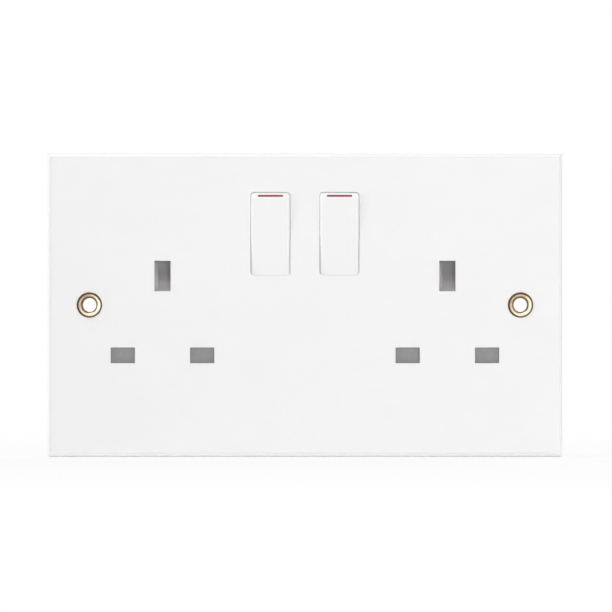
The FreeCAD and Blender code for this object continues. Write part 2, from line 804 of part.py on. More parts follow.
def rear_wells():
    """The walls inside the rear moulding that keep the live parts apart."""
    wells = []
    half_x = clip_half_width + well_gap
    half_z = clip_mouth + clip_leaf + well_gap / 2
    for _, sign in SIDES:
        for x in (neutral_x(sign), line_x(sign)):
            wells.append(well(x - half_x, x + half_x, flat_row_z - half_z, flat_row_z + half_z,
                              rear_front_y))
        x = socket_x(sign)
        reach = strap_foot_x + strap_thickness + well_gap
        top = earth_row_z + earth_clip_half + well_gap
        wells.append(well(x - reach, x + reach, earth_bar_bottom - well_gap, top, earth_well_front))
    wells.append(well(-switch_well_half, switch_well_half, switch_well_bottom, rear_top - rear_wall,
                      switch_well_front))
    wells.append(block(-well_wall / 2, well_wall / 2, switch_well_front, rear_floor_y,
                       switch_well_bottom, rear_top - rear_wall))
    return wells


def terminal_window(x, low, high):
    """The opening in the rear moulding over one terminal."""
    half = terminal_width / 2 + terminal_window_gap
    return block(x - half, x + half, terminal_front - terminal_window_gap, rear_back_y + 1,
                 low - terminal_window_gap, high + terminal_window_gap)


def wire_groove(x, low, high):
    """The groove in the rear moulding that a wire bends in through."""
    return block(x - groove_half, x + groove_half, tunnel_front - terminal_window_gap, rear_back_y + 1,
                 low, high)


def terminal_windows():
    cuts = []
    low, high = supply_span()
    for x in (line_terminal_x, neutral_terminal_x):
        cuts += [terminal_window(x, low, high), wire_groove(x, rear_bottom - 1, low)]
    low, high = earth_span()
    for _, sign in SIDES:
        x = sign * earth_terminal_x
        cuts += [terminal_window(x, low, high), wire_groove(x, high, high + groove_length)]
    return cuts


def make_rear_moulding():
    outer = front_prism(rear_outline(0), rear_front_y, rear_back_y)
    far = rear_half_width - rear_wall
    corners = edges_along(outer, 1, lambda p: abs(p.x) > far
                          and not rear_bottom + rear_wall < p.z < rear_top - rear_wall)
    outer = outer.makeFillet(rear_corner_round, corners)
    inner = front_prism(rear_outline(rear_wall), rear_front_y - 1, rear_floor_y)
    body = outer.cut(inner)
    within = front_prism(rear_outline(rear_wall / 2), rear_front_y, rear_floor_y + rear_floor / 2)
    pillars = [round_bar(case_pillar_radius, x, z, case_pillar_front, rear_floor_y + 1)
               for x, z in case_screw_places]
    body = join([body] + [piece.common(within) for piece in rear_wells() + pillars])
    cuts = strips_solid(line_bar_strips(), line_layer_y, slot_clearance)
    cuts += strips_solid(neutral_bar_strips(), back_layer_y, 0)
    cuts += strips_solid(earth_bar_strips(), back_layer_y, 0)
    for _, sign in SIDES:
        cuts += strips_solid(line_contact_strips(sign), line_layer_y, slot_clearance)
        cuts += strap_plates(sign, strap_clearance)
    cuts += terminal_windows()
    for x, z in case_screw_places:
        cuts.append(round_bar(case_shank_radius + case_shank_clearance, x, z,
                              case_pillar_front - 1, rear_back_y + 1))
        cuts.append(round_bar(case_head_radius + case_shank_clearance, x, z,
                              case_head_seat, rear_back_y + 1))
    for x, z in ejector_mark_places:
        cuts.append(round_bar(ejector_mark_radius, x, z,
                              rear_back_y - ejector_mark_depth, rear_back_y + 1))
    cuts += letter_pads()
    for cut in cuts:
        body = body.cut(cut)
    return body


def letter_pads():
    """Shallow recesses beside the terminals for their raised letters."""
    reach = terminal_width / 2 + terminal_window_gap + letter_pad_gap + letter_pad_width / 2
    supply_z = sum(supply_span()) / 2
    earth_z = sum(earth_span()) / 2
    places = [(line_terminal_x - reach, supply_z), (neutral_terminal_x + reach, supply_z)]
    places += [(sign * (earth_terminal_x + reach), earth_z) for _, sign in SIDES]
    half_w, half_h = letter_pad_width / 2, letter_pad_height / 2
    floor_y = rear_back_y - letter_pad_depth
    return [block(x - half_w, x + half_w, floor_y, rear_back_y + 1, z - half_h, z + half_h)
            for x, z in places]


def slotted(head_radius, x, z, y0, y1):
    """A round screw head with a straight slot in its rear face."""
    head = round_bar(head_radius, x, z, y0, y1)
    slot = block(x - screw_slot / 2, x + screw_slot / 2, y1 - (y1 - y0) / 2, y1 + 1,
                 z - head_radius - 1, z + head_radius + 1)
    return head.cut(slot)


def make_terminal_screws():
    low, high = supply_span()
    places = [(x, (low + high) / 2) for x in (line_terminal_x, neutral_terminal_x)]
    low, high = earth_span()
    places += [(sign * earth_terminal_x, (low + high) / 2) for _, sign in SIDES]
    head_y = rear_floor_y + terminal_head_gap
    screws = []
    for x, z in places:
        shank = round_bar(terminal_screw_radius, x, z, tunnel_back + terminal_screw_tip, head_y + head_lap)
        head = slotted(terminal_head_radius, x, z, head_y, head_y + terminal_head_height)
        screws.append(join([shank, head]))
    return group(screws)


def make_case_screws():
    screws = []
    for x, z in case_screw_places:
        shank = round_bar(case_shank_radius, x, z,
                          case_pillar_front - case_screw_reach, case_head_seat + head_lap)
        head = slotted(case_head_radius, x, z, case_head_seat, case_head_seat + case_head_height)
        screws.append(join([shank, head]))
    return group(screws)


def build():
    """Every piece by its name."""
    pieces = {
        "front_plate": make_front_plate(),
        "rear_moulding": make_rear_moulding(),
        "line_bar": make_line_bar(),
        "neutral_bar": make_neutral_bar(),
        "earth_bar": make_earth_bar(),
        "terminal_screws": make_terminal_screws(),
        "case_screws": make_case_screws(),
    }
    makers = {
        "eyelet": make_eyelet,
        "rocker": make_rocker,
        "rocker_flash": make_flash,
        "plunger": make_plunger,
        "plunger_spring": make_plunger_spring,
        "switch_arm": make_switch_arm,
        "arm_contact": make_arm_contact,
        "fixed_contact": make_fixed_contact,
        "line_contact": make_line_contact,
        "shutter": make_shutter,
        "shutter_spring": make_shutter_spring,
        "earth_strap": make_earth_strap,
    }
    for side, sign in SIDES:
        for name, maker in makers.items():
            pieces[name + "_" + side] = maker(sign)
    return pieces


os.makedirs("parts", exist_ok=True)
for name, shape in build().items():
    shape.exportStep("parts/" + name + ".step")
    print(name, len(shape.Solids), "solid(s)", round(shape.Volume, 1), "mm3", shape.isValid())
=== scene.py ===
# %% [markdown]
# # A twin switched socket outlet
# The outlet is a flat white plate with two sets of three pin apertures, two rocker switches and two
# brass-lined fixing holes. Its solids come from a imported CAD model, which is loaded first as a fixed frame.
# This lesson gives every solid its finish, turns the small round metal pieces again with smooth
# lips, adds the raised letters at the terminals, and sets the light and the camera.

import json
import math

import bpy
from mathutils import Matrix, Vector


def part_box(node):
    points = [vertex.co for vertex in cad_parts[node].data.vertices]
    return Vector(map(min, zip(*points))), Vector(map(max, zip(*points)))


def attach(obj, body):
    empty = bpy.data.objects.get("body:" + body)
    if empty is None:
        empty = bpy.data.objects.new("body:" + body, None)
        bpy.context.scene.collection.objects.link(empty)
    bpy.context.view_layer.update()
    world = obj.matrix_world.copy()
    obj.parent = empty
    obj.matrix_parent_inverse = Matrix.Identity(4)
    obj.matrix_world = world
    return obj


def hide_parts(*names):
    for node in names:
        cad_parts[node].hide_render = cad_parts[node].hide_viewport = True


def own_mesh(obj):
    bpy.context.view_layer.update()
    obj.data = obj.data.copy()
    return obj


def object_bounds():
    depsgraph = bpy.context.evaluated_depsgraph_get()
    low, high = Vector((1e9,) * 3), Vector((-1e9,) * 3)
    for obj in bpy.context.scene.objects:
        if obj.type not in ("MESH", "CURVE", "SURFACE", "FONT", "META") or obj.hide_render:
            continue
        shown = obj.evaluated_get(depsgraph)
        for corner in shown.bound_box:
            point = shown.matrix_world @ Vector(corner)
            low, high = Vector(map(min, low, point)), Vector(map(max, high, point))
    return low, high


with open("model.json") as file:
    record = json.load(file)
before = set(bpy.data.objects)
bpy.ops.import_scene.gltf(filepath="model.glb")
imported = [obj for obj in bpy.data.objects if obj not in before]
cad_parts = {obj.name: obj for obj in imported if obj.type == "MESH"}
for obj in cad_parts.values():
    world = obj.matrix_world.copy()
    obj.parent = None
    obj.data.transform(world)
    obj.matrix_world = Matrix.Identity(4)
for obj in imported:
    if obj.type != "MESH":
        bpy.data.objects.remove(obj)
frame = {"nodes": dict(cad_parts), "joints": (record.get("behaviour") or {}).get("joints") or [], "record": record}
nodes = frame["nodes"]
cad_box = [list(corner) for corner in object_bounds()]
MM = 0.001
print("nodes:", len(nodes), "box in mm:", [[round(v / MM, 2) for v in corner] for corner in cad_box])

# %% [markdown]
# ## The camera
# The photograph looks straight at the plate from far away, so its edges stay parallel. A long lens far back
# does the same. An orthographic camera could too, but a lens keeps the slight view into the apertures.
# The distance follows from the scale: the two fixing holes are 120.6 mm apart and take 431 of the
# picture's 612 pixels. The camera aims just beside the plate's middle, as the photograph does.

# %% Place the camera
PICTURE_SIZE = 612
PIXELS_PER_MM = 3.575
LENS = 500.0
SENSOR = 36.0
AIM_X, AIM_Z = 0.299 * MM, -0.285 * MM
front_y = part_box("front_plate")[0].y
view_width = PICTURE_SIZE / PIXELS_PER_MM * MM
camera_distance = view_width * LENS / SENSOR
camera_data = bpy.data.cameras.new("camera")
camera_data.lens = LENS
camera_data.sensor_width = SENSOR
camera = bpy.data.objects.new("camera", camera_data)
bpy.context.scene.collection.objects.link(camera)
camera.location = (AIM_X, front_y - camera_distance, AIM_Z)
camera.rotation_euler = (math.pi / 2, 0, 0)
bpy.context.scene.camera = camera
print("camera stands back", round(camera_distance, 3), "m")

# %% [markdown]
# ## Writing shader maths as Python
# A material is a graph of nodes. Its arithmetic could be added node by node, but it reads best as plain
# expressions, so one small class wraps a socket and adds a Math node for each operator. `low` and `high`
# take the lesser or greater of two values, and `step` is a ramp that says where something begins.

# %% Wrap a shader socket
class Value:
    def __init__(self, tree, socket):
        self.tree = tree
        self.socket = socket

    def maths(self, operation, other=None, first=False):
        made = self.tree.nodes.new("ShaderNodeMath")
        made.operation = operation
        pair = [self] if other is None else [other, self] if first else [self, other]
        for place, value in zip(made.inputs, pair):
            connect(self.tree, place, value)
        return Value(self.tree, made.outputs[0])

    def __add__(self, other):
        return self.maths("ADD", other)

    def __sub__(self, other):
        return self.maths("SUBTRACT", other)

    def __rsub__(self, other):
        return self.maths("SUBTRACT", other, first=True)

    def __mul__(self, other):
        return self.maths("MULTIPLY", other)

    def __truediv__(self, other):
        return self.maths("DIVIDE", other)

    def __rtruediv__(self, other):
        return self.maths("DIVIDE", other, first=True)

    def __pow__(self, other):
        return self.maths("POWER", other)

    def __abs__(self):
        return self.maths("ABSOLUTE")

    __radd__ = __add__
    __rmul__ = __mul__

    def low(self, other):
        return self.maths("MINIMUM", other)

    def high(self, other):
        return self.maths("MAXIMUM", other)

    def clamp(self):
        return self.high(0.0).low(1.0)

    def step(self, start, end):
        """0 before start and 1 after end, with a straight ramp between."""
        return ((self - start) / (end - start)).clamp()


def connect(tree, place, value):
    if isinstance(value, Value):
        tree.links.new(value.socket, place)
    else:
        place.default_value = value


# %% [markdown]
# ## Graphs and finishes
# A `Graph` is a tree of nodes. Its `node` method adds any node but Math: first its settings, then the values
# or links of its sockets. A `Finish` is the graph of one material. All its patterns read the place of
# the point on the object in millimetres, so their scales can be compared with a ruler, and they stay
# put as pieces move. A constant goes straight on the shader's own socket, where an export can read it.

# %% Hold one graph
class Graph:
    def __init__(self, tree):
        self.tree = tree

    def node(self, kind, settings=None, inputs=None, output=0):
        made = self.tree.nodes.new("ShaderNode" + kind)
        for name, value in (settings or {}).items():
            setattr(made, name, value)
        for name, value in (inputs or {}).items():
            connect(self.tree, made.inputs[name], value)
        return Value(self.tree, made.outputs[output])

    def split(self, vector):
        made = self.node("SeparateXYZ", {}, {0: vector}).socket.node
        return [Value(self.tree, socket) for socket in made.outputs]

    def seen(self):
        """1 for rays from the camera, also after a reflection or through glass, and 0 for other light."""
        camera, glossy, clear = (self.node("LightPath", output=f"Is {kind} Ray")
                                 for kind in ("Camera", "Glossy", "Transmission"))
        return camera.high(glossy).high(clear)


# %% Hold one finish
# The radius that edges seem to have, in mm
EDGE_ROUND = 0.12


class Finish(Graph):
    def __init__(self, name, **constants):
        self.material = bpy.data.materials.new(name)
        self.material.use_nodes = True
        super().__init__(self.material.node_tree)
        self.shader = self.tree.nodes["Principled BSDF"]
        for key, value in constants.items():
            self.shader.inputs[key.replace("_", " ")].default_value = value
        place = self.node("TexCoord", output="Object")
        self.place = self.node("VectorMath", {"operation": "SCALE"}, {0: place, "Scale": 1 / MM})

    def stretched(self, x, y, z):
        return self.node("VectorMath", {"operation": "MULTIPLY"}, {0: self.place, 1: (x, y, z)})

    def noise(self, scale, detail=2.0, rough=0.5, vector=None):
        return self.node("TexNoise", {}, {"Vector": vector or self.place, "Scale": scale,
                                          "Detail": detail, "Roughness": rough})

    def cells(self, scale):
        return self.node("TexVoronoi", {}, {"Vector": self.place, "Scale": scale})

    def mix(self, factor, first, second):
        return self.node("Mix", {"data_type": "RGBA"}, {0: factor, 6: first, 7: second}, output=2)

    def set(self, **values):
        for name, value in values.items():
            connect(self.tree, self.shader.inputs[name.replace("_", " ")], value)

    def bump(self, height, depth):
        """Relief of a depth in mm, over edges that look slightly rounded."""
        edges = self.node("Bevel", {"samples": 4}, {"Radius": EDGE_ROUND * MM})
        made = self.node("Bump", {}, {"Distance": depth * MM, "Height": height, "Normal": edges})
        self.set(Normal=made)


def rgb(red, green, blue):
    return (red, green, blue, 1.0)


finishes = {}


def tell(*names):
    for name in names:
        print(name, "is made of", len(finishes[name].node_tree.nodes), "nodes")


# %% [markdown]
# ## White moulded plastic
# The plate and the rockers are a hard thermoset plastic, pressed in a polished tool. It is a plain, almost
# neutral white with a soft sheen. Close up it has a very fine grain, faint flow lines from the press, a
# few specks, and a slow drift of tone of one or two percent. Three noises give these, a slow one for tone,
# a stretched one for the flow and a fine one for the bump, and Voronoi cells give the specks. A flat
# colour would look like paper. The rounded edges of the front are painted paler, a painted highlight
# where the side lamps catch them. The place of the point finds them, because a CAD mesh has no marks on
# its edges.

# %% White plate and rocker finishes
def white_plastic(name, tone, rough, drift_scale, edges):
    finish = Finish(name, IOR=1.5)
    drift = finish.noise(drift_scale, 3.0)
    flow = finish.noise(0.5, 4.0, 0.6, finish.stretched(0.25, 1.0, 1.6))
    specks = finish.cells(1.1).step(0.02, 0.07)
    grain = finish.noise(9.0, 3.0, 0.6)
    shade = tone * 0.985
    dull = shade * 0.985
    clean = finish.mix(drift.step(0.35, 0.65), rgb(tone, tone, tone * 0.997),
                       rgb(shade, shade * 1.002, shade))
    streaked = finish.mix(flow.step(0.45, 0.75) * 0.2, clean, rgb(dull, dull, dull * 0.99))
    speckled = finish.mix((1 - specks) * 0.25, streaked, rgb(0.62, 0.61, 0.58))
    # Painted highlight: the rounded edges are painted paler than the plastic.
    edge_highlight = finish.mix(edges(*finish.split(finish.place)), speckled, rgb(0.985, 0.985, 0.985))
    finish.set(Base_Color=edge_highlight, Roughness=rough + 0.08 * flow + 0.05 * grain)
    finish.bump(grain * 0.7 + flow * 0.3, 0.012)
    return finish.material


plate_low, plate_high = (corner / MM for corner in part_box("front_plate"))
rocker_low, rocker_high = (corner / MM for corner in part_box("rocker_right"))
ROCKER_X = (rocker_low.x + rocker_high.x) / 2


def plate_edge_highlight(x, y, z):
    """Where the painted highlight goes: 1 on the front's rounded edges and 0 elsewhere, from distances in mm."""
    left = x.step(plate_low.x + 0.6, plate_low.x + 0.3)
    right = x.step(plate_high.x - 1.5, plate_high.x - 0.7)
    top = z.step(plate_high.z - 1.2, plate_high.z - 0.9)
    bottom = z.step(plate_low.z + 1.2, plate_low.z + 0.5)
    return (left + right + top + bottom).clamp() * y.step(plate_low.y + 2.4, plate_low.y + 1.4)


def rocker_edge_highlight(x, y, z):
    """Where the painted highlight goes: 1 along both upright edges of each rocker."""
    return abs(abs(x) - ROCKER_X).step(4.6, 4.95)


finishes["white_plate"] = white_plastic("white_plate", 0.84, 0.27, 0.035, plate_edge_highlight)
# Painted light: the rocker's white is set lighter than the plate's, to make up for the light its tilted face
# misses.
finishes["white_rocker"] = white_plastic("white_rocker", 0.935, 0.24, 0.046, rocker_edge_highlight)
tell("white_plate", "white_rocker")

# %% [markdown]
# ## The rear moulding
# The back is out of sight once it is mounted, so its tool is left with a spark-eroded texture: a dull
# surface of fine round pits, slightly warmer than the plate, with cloudy patches where the melt met.
# Noise alone would give lumps, and Voronoi cells give the round pits, so the cells make most of the bump.

# %% Rear moulding finish
def rear_plastic(name):
    finish = Finish(name, IOR=1.48)
    cloud = finish.noise(0.09, 4.0, 0.55)
    pits = finish.cells(3.2)
    fine = finish.noise(14.0, 2.0)
    tone = finish.mix(cloud.step(0.35, 0.7), rgb(0.80, 0.79, 0.76), rgb(0.74, 0.73, 0.69))
    finish.set(Base_Color=finish.mix(fine.step(0.55, 0.8) * 0.3, tone, rgb(0.68, 0.67, 0.63)),
               Roughness=0.5 + 0.15 * pits + 0.08 * cloud)
    finish.bump(pits * 0.7 + fine * 0.3, 0.03)
    return finish.material


finishes["rear_white"] = rear_plastic("rear_white")
tell("rear_white")

# %% [markdown]
# ## Grey shutters
# The shutters behind the apertures are a tough grey nylon. It slides, so it is left slightly waxy, and the
# mineral filler shows as a soft mottle. Rubbed places along the sliding direction are a little shinier.
# Each earth pin pushes on a ramp, which slopes away behind the upper aperture. The shutter is painted paler
# at the top of the ramp, where the deep ramp lies in shade, again along its lower end, and most along a
# strip at its left side where light falls into the aperture: all of it painted light. Heights and
# distances in millimetres bound these areas.

# %% Shutter and plunger finishes
shutter_low, shutter_high = (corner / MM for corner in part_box("shutter_right"))
SOCKET_X = (shutter_low.x + shutter_high.x) / 2
print("sockets at x", round(SOCKET_X, 2), "mm")
# Heights above the plate's middle, and a distance from the socket's middle, in mm,
# that bound the painted light on the earth ramp
RAMP_FOOT, RAMP_FOOT_END = (2.6, 3.2), (9.0, 6.4)
RAMP_TOP = (7.0, 12.0)
SIDE_FOOT, SIDE_END = (4.0, 5.6), (12.2, 11.6)
LEFT_OF_MIDDLE = (-1.34, -1.46)
FOOT_LIGHT = 0.58


def nylon(name, light, dark, rough, painted_light_tone=None):
    finish = Finish(name, IOR=1.53)
    mottle = finish.noise(0.9, 4.0, 0.6)
    rubbed = finish.noise(1.4, 3.0, 0.6, finish.stretched(2.4, 1.0, 0.2))
    fine = finish.noise(11.0, 2.0)
    tone = finish.mix(mottle.step(0.3, 0.7), light, dark)
    if painted_light_tone:
        # Painted light: a paler tone at the ramp's foot and top, and a lit strip at its left side.
        x, _, height = finish.split(finish.place)
        lower = height.step(*RAMP_FOOT) * height.step(*RAMP_FOOT_END)
        tone = finish.mix(lower * FOOT_LIGHT + height.step(*RAMP_TOP), tone, painted_light_tone)
        across = x - SOCKET_X * (2 * x.step(-1.0, 1.0) - 1)
        side = across.step(*LEFT_OF_MIDDLE) * height.step(*SIDE_FOOT) * height.step(*SIDE_END)
        tone = finish.mix(side, tone, rgb(0.96, 0.93, 0.92))
    finish.set(Base_Color=tone, Roughness=rough + 0.12 * mottle - 0.1 * rubbed)
    finish.bump(fine * 0.6 + rubbed * 0.4, 0.012)
    return finish.material


# The last colour is the paler tone of the painted light on the earth ramp.
finishes["grey_shutter"] = nylon("grey_shutter", rgb(0.395, 0.383, 0.40), rgb(0.34, 0.33, 0.345), 0.46,
                                 rgb(0.80, 0.76, 0.775))
finishes["plunger_nylon"] = nylon("plunger_nylon", rgb(0.83, 0.81, 0.72), rgb(0.74, 0.71, 0.60), 0.42)
tell("grey_shutter", "plunger_nylon")

# %% [markdown]
# ## The red flash
# A strip of dark red plastic is let into the end of each rocker, and shows only while the switch is on. It is
# glossy, with the slight unevenness of a strip that was pressed home, and worn paler where fingers rub it.
# It could be one dark red, but two reds mixed by a slow noise, with rubbed spots, keep it from looking flat.

# %% Red flash finish
def red_plastic(name):
    finish = Finish(name, IOR=1.49)
    uneven = finish.noise(1.6, 3.0)
    rub = finish.noise(5.0, 3.0, 0.6)
    body = finish.mix(uneven.step(0.35, 0.65), rgb(0.34, 0.012, 0.03), rgb(0.24, 0.008, 0.022))
    finish.set(Base_Color=finish.mix(rub.step(0.55, 0.8) * 0.4, body, rgb(0.46, 0.05, 0.06)),
               Roughness=0.24 + 0.2 * rub)
    finish.bump(uneven, 0.02)
    return finish.material


finishes["red_flash"] = red_plastic("red_flash")
tell("red_flash")

# %% [markdown]
# ## Brass eyelets
# Each fixing hole is lined with a brass eyelet, a tube whose end is rolled over into a lip. Rolling leaves
# fine rings round the lip. The brass is painted pale towards the lower right and brown towards the upper
# left, painted light and shade as from a lamp at the upper left, and painted shade darkens the outer edge
# and the mouth of the bore. The rings and the shade depend on the distance from the hole's middle, so the
# shader works that out from the place of the point, with the sign of X to tell the two holes apart.

# %% Eyelet finish
EYELET_X = (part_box("eyelet_right")[0].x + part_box("eyelet_right")[1].x) / 2 / MM


def eyelet_brass(name):
    """Brass in rings, from radii in mm about the middle of the nearer hole, with painted light and shade."""
    finish = Finish(name, Metallic=1.0)
    x, _, z = finish.split(finish.place)
    right = x.step(-1.0, 1.0)
    across = x - EYELET_X * (2 * right - 1)
    radius = (across * across + z * z) ** 0.5
    # Painted light and shade: 1 towards the lower right, where light from the upper left falls on the lip.
    lit_lower_right = (across - z).step(-4.0, 4.0)
    patches = finish.noise(0.8, 4.0, 0.6)
    rings = finish.node("TexNoise", {"noise_dimensions": "1D"}, {"W": radius, "Scale": 9.0, "Detail": 3.0})
    # Painted shade: a dark ring round the rim, wider towards the upper left, and one at the mouth of the bore.
    rim = (radius + 0.15 * patches + 0.25 * (1 - lit_lower_right)).step(3.1, 3.4)
    mouth_shade = (radius + 0.1 * patches).step(1.92, 2.02) * (1 - (radius + 0.1 * patches).step(2.2, 2.45))
    pale = finish.mix(patches.step(0.3, 0.7), rgb(0.86, 0.72, 0.54), rgb(0.76, 0.62, 0.44))
    brown = finish.mix(patches.step(0.3, 0.7), rgb(0.48, 0.36, 0.23), rgb(0.40, 0.29, 0.18))
    lit_and_shaded_brass = finish.mix(lit_lower_right.step(0.2, 0.75), brown, pale)
    ringed = finish.mix(rings.step(0.45, 0.7) * 0.3, lit_and_shaded_brass, rgb(0.34, 0.24, 0.14))
    bore_shaded = finish.mix(mouth_shade * 0.8, ringed, rgb(0.13, 0.10, 0.055))
    finish.set(Base_Color=finish.mix(rim * 0.95, bore_shaded, rgb(0.075, 0.05, 0.033)),
               Roughness=0.3 + 0.15 * rings + 0.2 * rim)
    finish.bump(rings * 0.8 + patches * 0.2, 0.02)
    return finish.material


finishes["eyelet_brass"] = eyelet_brass("eyelet_brass")
tell("eyelet_brass")

# %% [markdown]
# ## Strip metals
# The live parts are pressed from rolled strip. Rolling leaves long fine scratches, handling leaves stains,
# and the colour tells the metal: yellow brass, the redder earth brass, and the copper of the switch arms.
# The silver contacts share the recipe, which takes two colours, a roughness and a direction. A noise that
# is stretched along the strip gives the scratches, so they need no picture and have no seams.

# %% Rolled strip finishes
def rolled(name, bright, stained, rough, along):
    finish = Finish(name, Metallic=1.0)
    lines = finish.noise(2.0, 5.0, 0.65, finish.stretched(*along))
    stains = finish.noise(0.22, 4.0, 0.6)
    spots = finish.cells(0.6).step(0.08, 0.35)
    body = finish.mix(stains.step(0.42, 0.72), bright, stained)
    finish.set(Base_Color=finish.mix((1 - spots) * 0.35, body, stained),
               Roughness=rough + 0.18 * lines + 0.12 * stains)
    finish.bump(lines, 0.015)
    return finish.material


ALONG_X = (0.15, 4.0, 4.0)
ALONG_Z = (4.0, 4.0, 0.15)
finishes["strip_brass"] = rolled("strip_brass", rgb(0.80, 0.62, 0.32), rgb(0.52, 0.36, 0.16), 0.26, ALONG_X)
finishes["earth_brass"] = rolled("earth_brass", rgb(0.78, 0.56, 0.30), rgb(0.46, 0.29, 0.14), 0.30, ALONG_X)
finishes["arm_copper"] = rolled("arm_copper", rgb(0.83, 0.46, 0.31), rgb(0.44, 0.20, 0.12), 0.28, ALONG_Z)
finishes["contact_silver"] = rolled("contact_silver", rgb(0.88, 0.87, 0.83), rgb(0.42, 0.38, 0.33), 0.22,
                                    ALONG_Z)
tell("strip_brass", "earth_brass", "arm_copper", "contact_silver")

# %% [markdown]
# ## Steel
# The springs are drawn steel wire with a faint blue oil film. The screws are zinc plated, a brighter,
# slightly mottled metal with patches of a weak yellow film. Cells give the crystals of the zinc and a slow
# noise the film. Both metals differ only in colours and scale, so one function makes them.

# %% Spring and screw finishes
def steel(name, bright, shade, tint, rough, scale):
    finish = Finish(name, Metallic=1.0)
    grains = finish.cells(scale)
    film = finish.noise(0.5, 3.0, 0.55)
    fine = finish.noise(12.0, 3.0)
    body = finish.mix(grains, bright, shade)
    finish.set(Base_Color=finish.mix(film.step(0.45, 0.75) * 0.5, body, tint),
               Roughness=rough + 0.12 * fine + 0.1 * film)
    finish.bump(fine * 0.5 + grains * 0.5, 0.01)
    return finish.material


finishes["spring_steel"] = steel("spring_steel", rgb(0.56, 0.57, 0.58), rgb(0.42, 0.43, 0.45),
                                 rgb(0.34, 0.36, 0.42), 0.28, 2.0)
finishes["screw_steel"] = steel("screw_steel", rgb(0.74, 0.74, 0.72), rgb(0.58, 0.58, 0.57),
                                rgb(0.66, 0.60, 0.46), 0.24, 1.4)
tell("spring_steel", "screw_steel")

# %% [markdown]
# ## Give the CAD solids their finishes
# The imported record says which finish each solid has. The names could be listed here again, but the record
# can't disagree with the solids. The CAD solids keep their meshes, and only their material slots change.

# %% Dress the CAD nodes
slot_of_node = {part["node"]: part["material_slot"] for part in frame["record"]["subparts"]}


def give_finish(piece, slot):
    piece.data.materials.clear()
    piece.data.materials.append(finishes[slot])


for name, piece in nodes.items():
    give_finish(piece, slot_of_node[name])
print("dressed", len(nodes), "nodes in", len(finishes), "finishes")

# %% [markdown]
# ## Turned metal pieces
# The eyelets and the screws are round about a line along Y, as they come from a lathe or a rolling tool. Spin
# could sweep their outline, but its ends must then be merged. One small function works as the lathe does: it
# starts from a circle of the first radius and extrudes that ring of edges station by station, each time
# along Y, and then in or out by scaling it about the axis. A tube ends by bridging its last ring to
# its first, and a solid piece by filling both ends. Each kind is turned once, about the Y axis itself,
# and copies with meshes of their own then go to their places.

# %% Turn a profile
SMOOTH = math.radians(35)


def start_clean():
    if bpy.context.object and bpy.context.object.mode != "OBJECT":
        bpy.ops.object.mode_set(mode="OBJECT")
    bpy.ops.object.select_all(action="DESELECT")


def turned(name, profile, sides, tube):
    """A round piece about the Y axis, from (radius, depth) stations in mm."""
    start_clean()
    radius, depth = profile[0]
    bpy.ops.mesh.primitive_circle_add(vertices=sides, radius=radius * MM, rotation=(math.pi / 2, 0, 0),
                                      location=(0, depth * MM, 0))
    piece = bpy.context.object
    piece.name = name
    bpy.ops.object.transform_apply(location=True, rotation=True, scale=True)
    bpy.ops.object.mode_set(mode="EDIT")
    bpy.ops.mesh.select_all(action="SELECT")
    for (before, start), (after, end) in zip(profile, profile[1:]):
        bpy.ops.mesh.extrude_edges_move(TRANSFORM_OT_translate={"value": (0, (end - start) * MM, 0)})
        grow = after / before
        bpy.ops.transform.resize(value=(grow, 1, grow), center_override=(0, end * MM, 0))
    bpy.ops.mesh.select_all(action="SELECT")
    if tube:
        bpy.ops.mesh.select_mode(type="EDGE")
        bpy.ops.mesh.select_all(action="DESELECT")
        bpy.ops.mesh.select_non_manifold()
        bpy.ops.mesh.bridge_edge_loops()
    else:
        bpy.ops.mesh.fill_holes(sides=0)
    bpy.ops.mesh.select_all(action="SELECT")
    bpy.ops.mesh.normals_make_consistent(inside=False)
    bpy.ops.object.mode_set(mode="OBJECT")
    bpy.ops.object.shade_smooth_by_angle(angle=SMOOTH)
    return piece


def copied(piece, name, place, turn=0.0):
    """A copy with a mesh of its own, turned about Y and moved to a place in metres."""
    start_clean()
    piece.select_set(True)
    bpy.context.view_layer.objects.active = piece
    bpy.ops.object.duplicate()
    copy = bpy.context.object
    copy.name = name
    copy.rotation_euler = (0, turn, 0)
    copy.location = place
    bpy.ops.object.transform_apply(location=True, rotation=True, scale=True)
    return copy


def stands_for(piece, finish_slot, *cad_nodes):
    """Give a new piece its finish and body, and hide the CAD nodes that it stands for."""
    give_finish(piece, finish_slot)
    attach(piece, "housing")
    if cad_nodes:
        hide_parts(*cad_nodes)


# %% [markdown]
# ## The eyelets
# Each eyelet's throat flares out over a soft crown, and its rim turns down onto the plate, with a small
# bead where the tool let go. The stations run from the rear of the bore forward, over the crown and
# back along the tube. The CAD eyelet's own box gives the axis, the crown's height and the rim. A torus
# joined to a tube would leave a seam inside, while one outline turned right round is one closed skin.

# %% Turn the eyelets
EYELET_SIDES = 128
low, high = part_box("eyelet_right")
rim = (high.x - low.x) / 2 / MM
crown = low.y / MM
plate_front = front_y / MM
eyelet_stations = [(1.95, 0.0), (1.95, -0.3), (1.95, crown + 1.1), (1.97, crown + 0.8), (2.03, crown + 0.58),
                   (2.14, crown + 0.38), (2.3, crown + 0.2), (2.5, crown + 0.06), (2.75, crown),
                   (2.98, crown + 0.05), (3.16, crown + 0.14), (3.3, crown + 0.25), (3.42, crown + 0.37),
                   (rim - 0.05, crown + 0.42), (rim, crown + 0.46), (rim, plate_front - 0.02),
                   (rim - 0.04, plate_front), (2.6, plate_front), (2.6, -0.12), (2.48, 0.0)]
eyelet = turned("eyelet", eyelet_stations, EYELET_SIDES, tube=True)
for side, middle_x in (("left", -EYELET_X), ("right", EYELET_X)):
    lining = copied(eyelet, "eyelet_turned_" + side, (middle_x * MM, 0, 0))
    stands_for(lining, "eyelet_brass", "eyelet_" + side)
    print(lining.name, "at x", round(middle_x, 2), "rim radius", round(rim, 2))
bpy.data.objects.remove(eyelet)

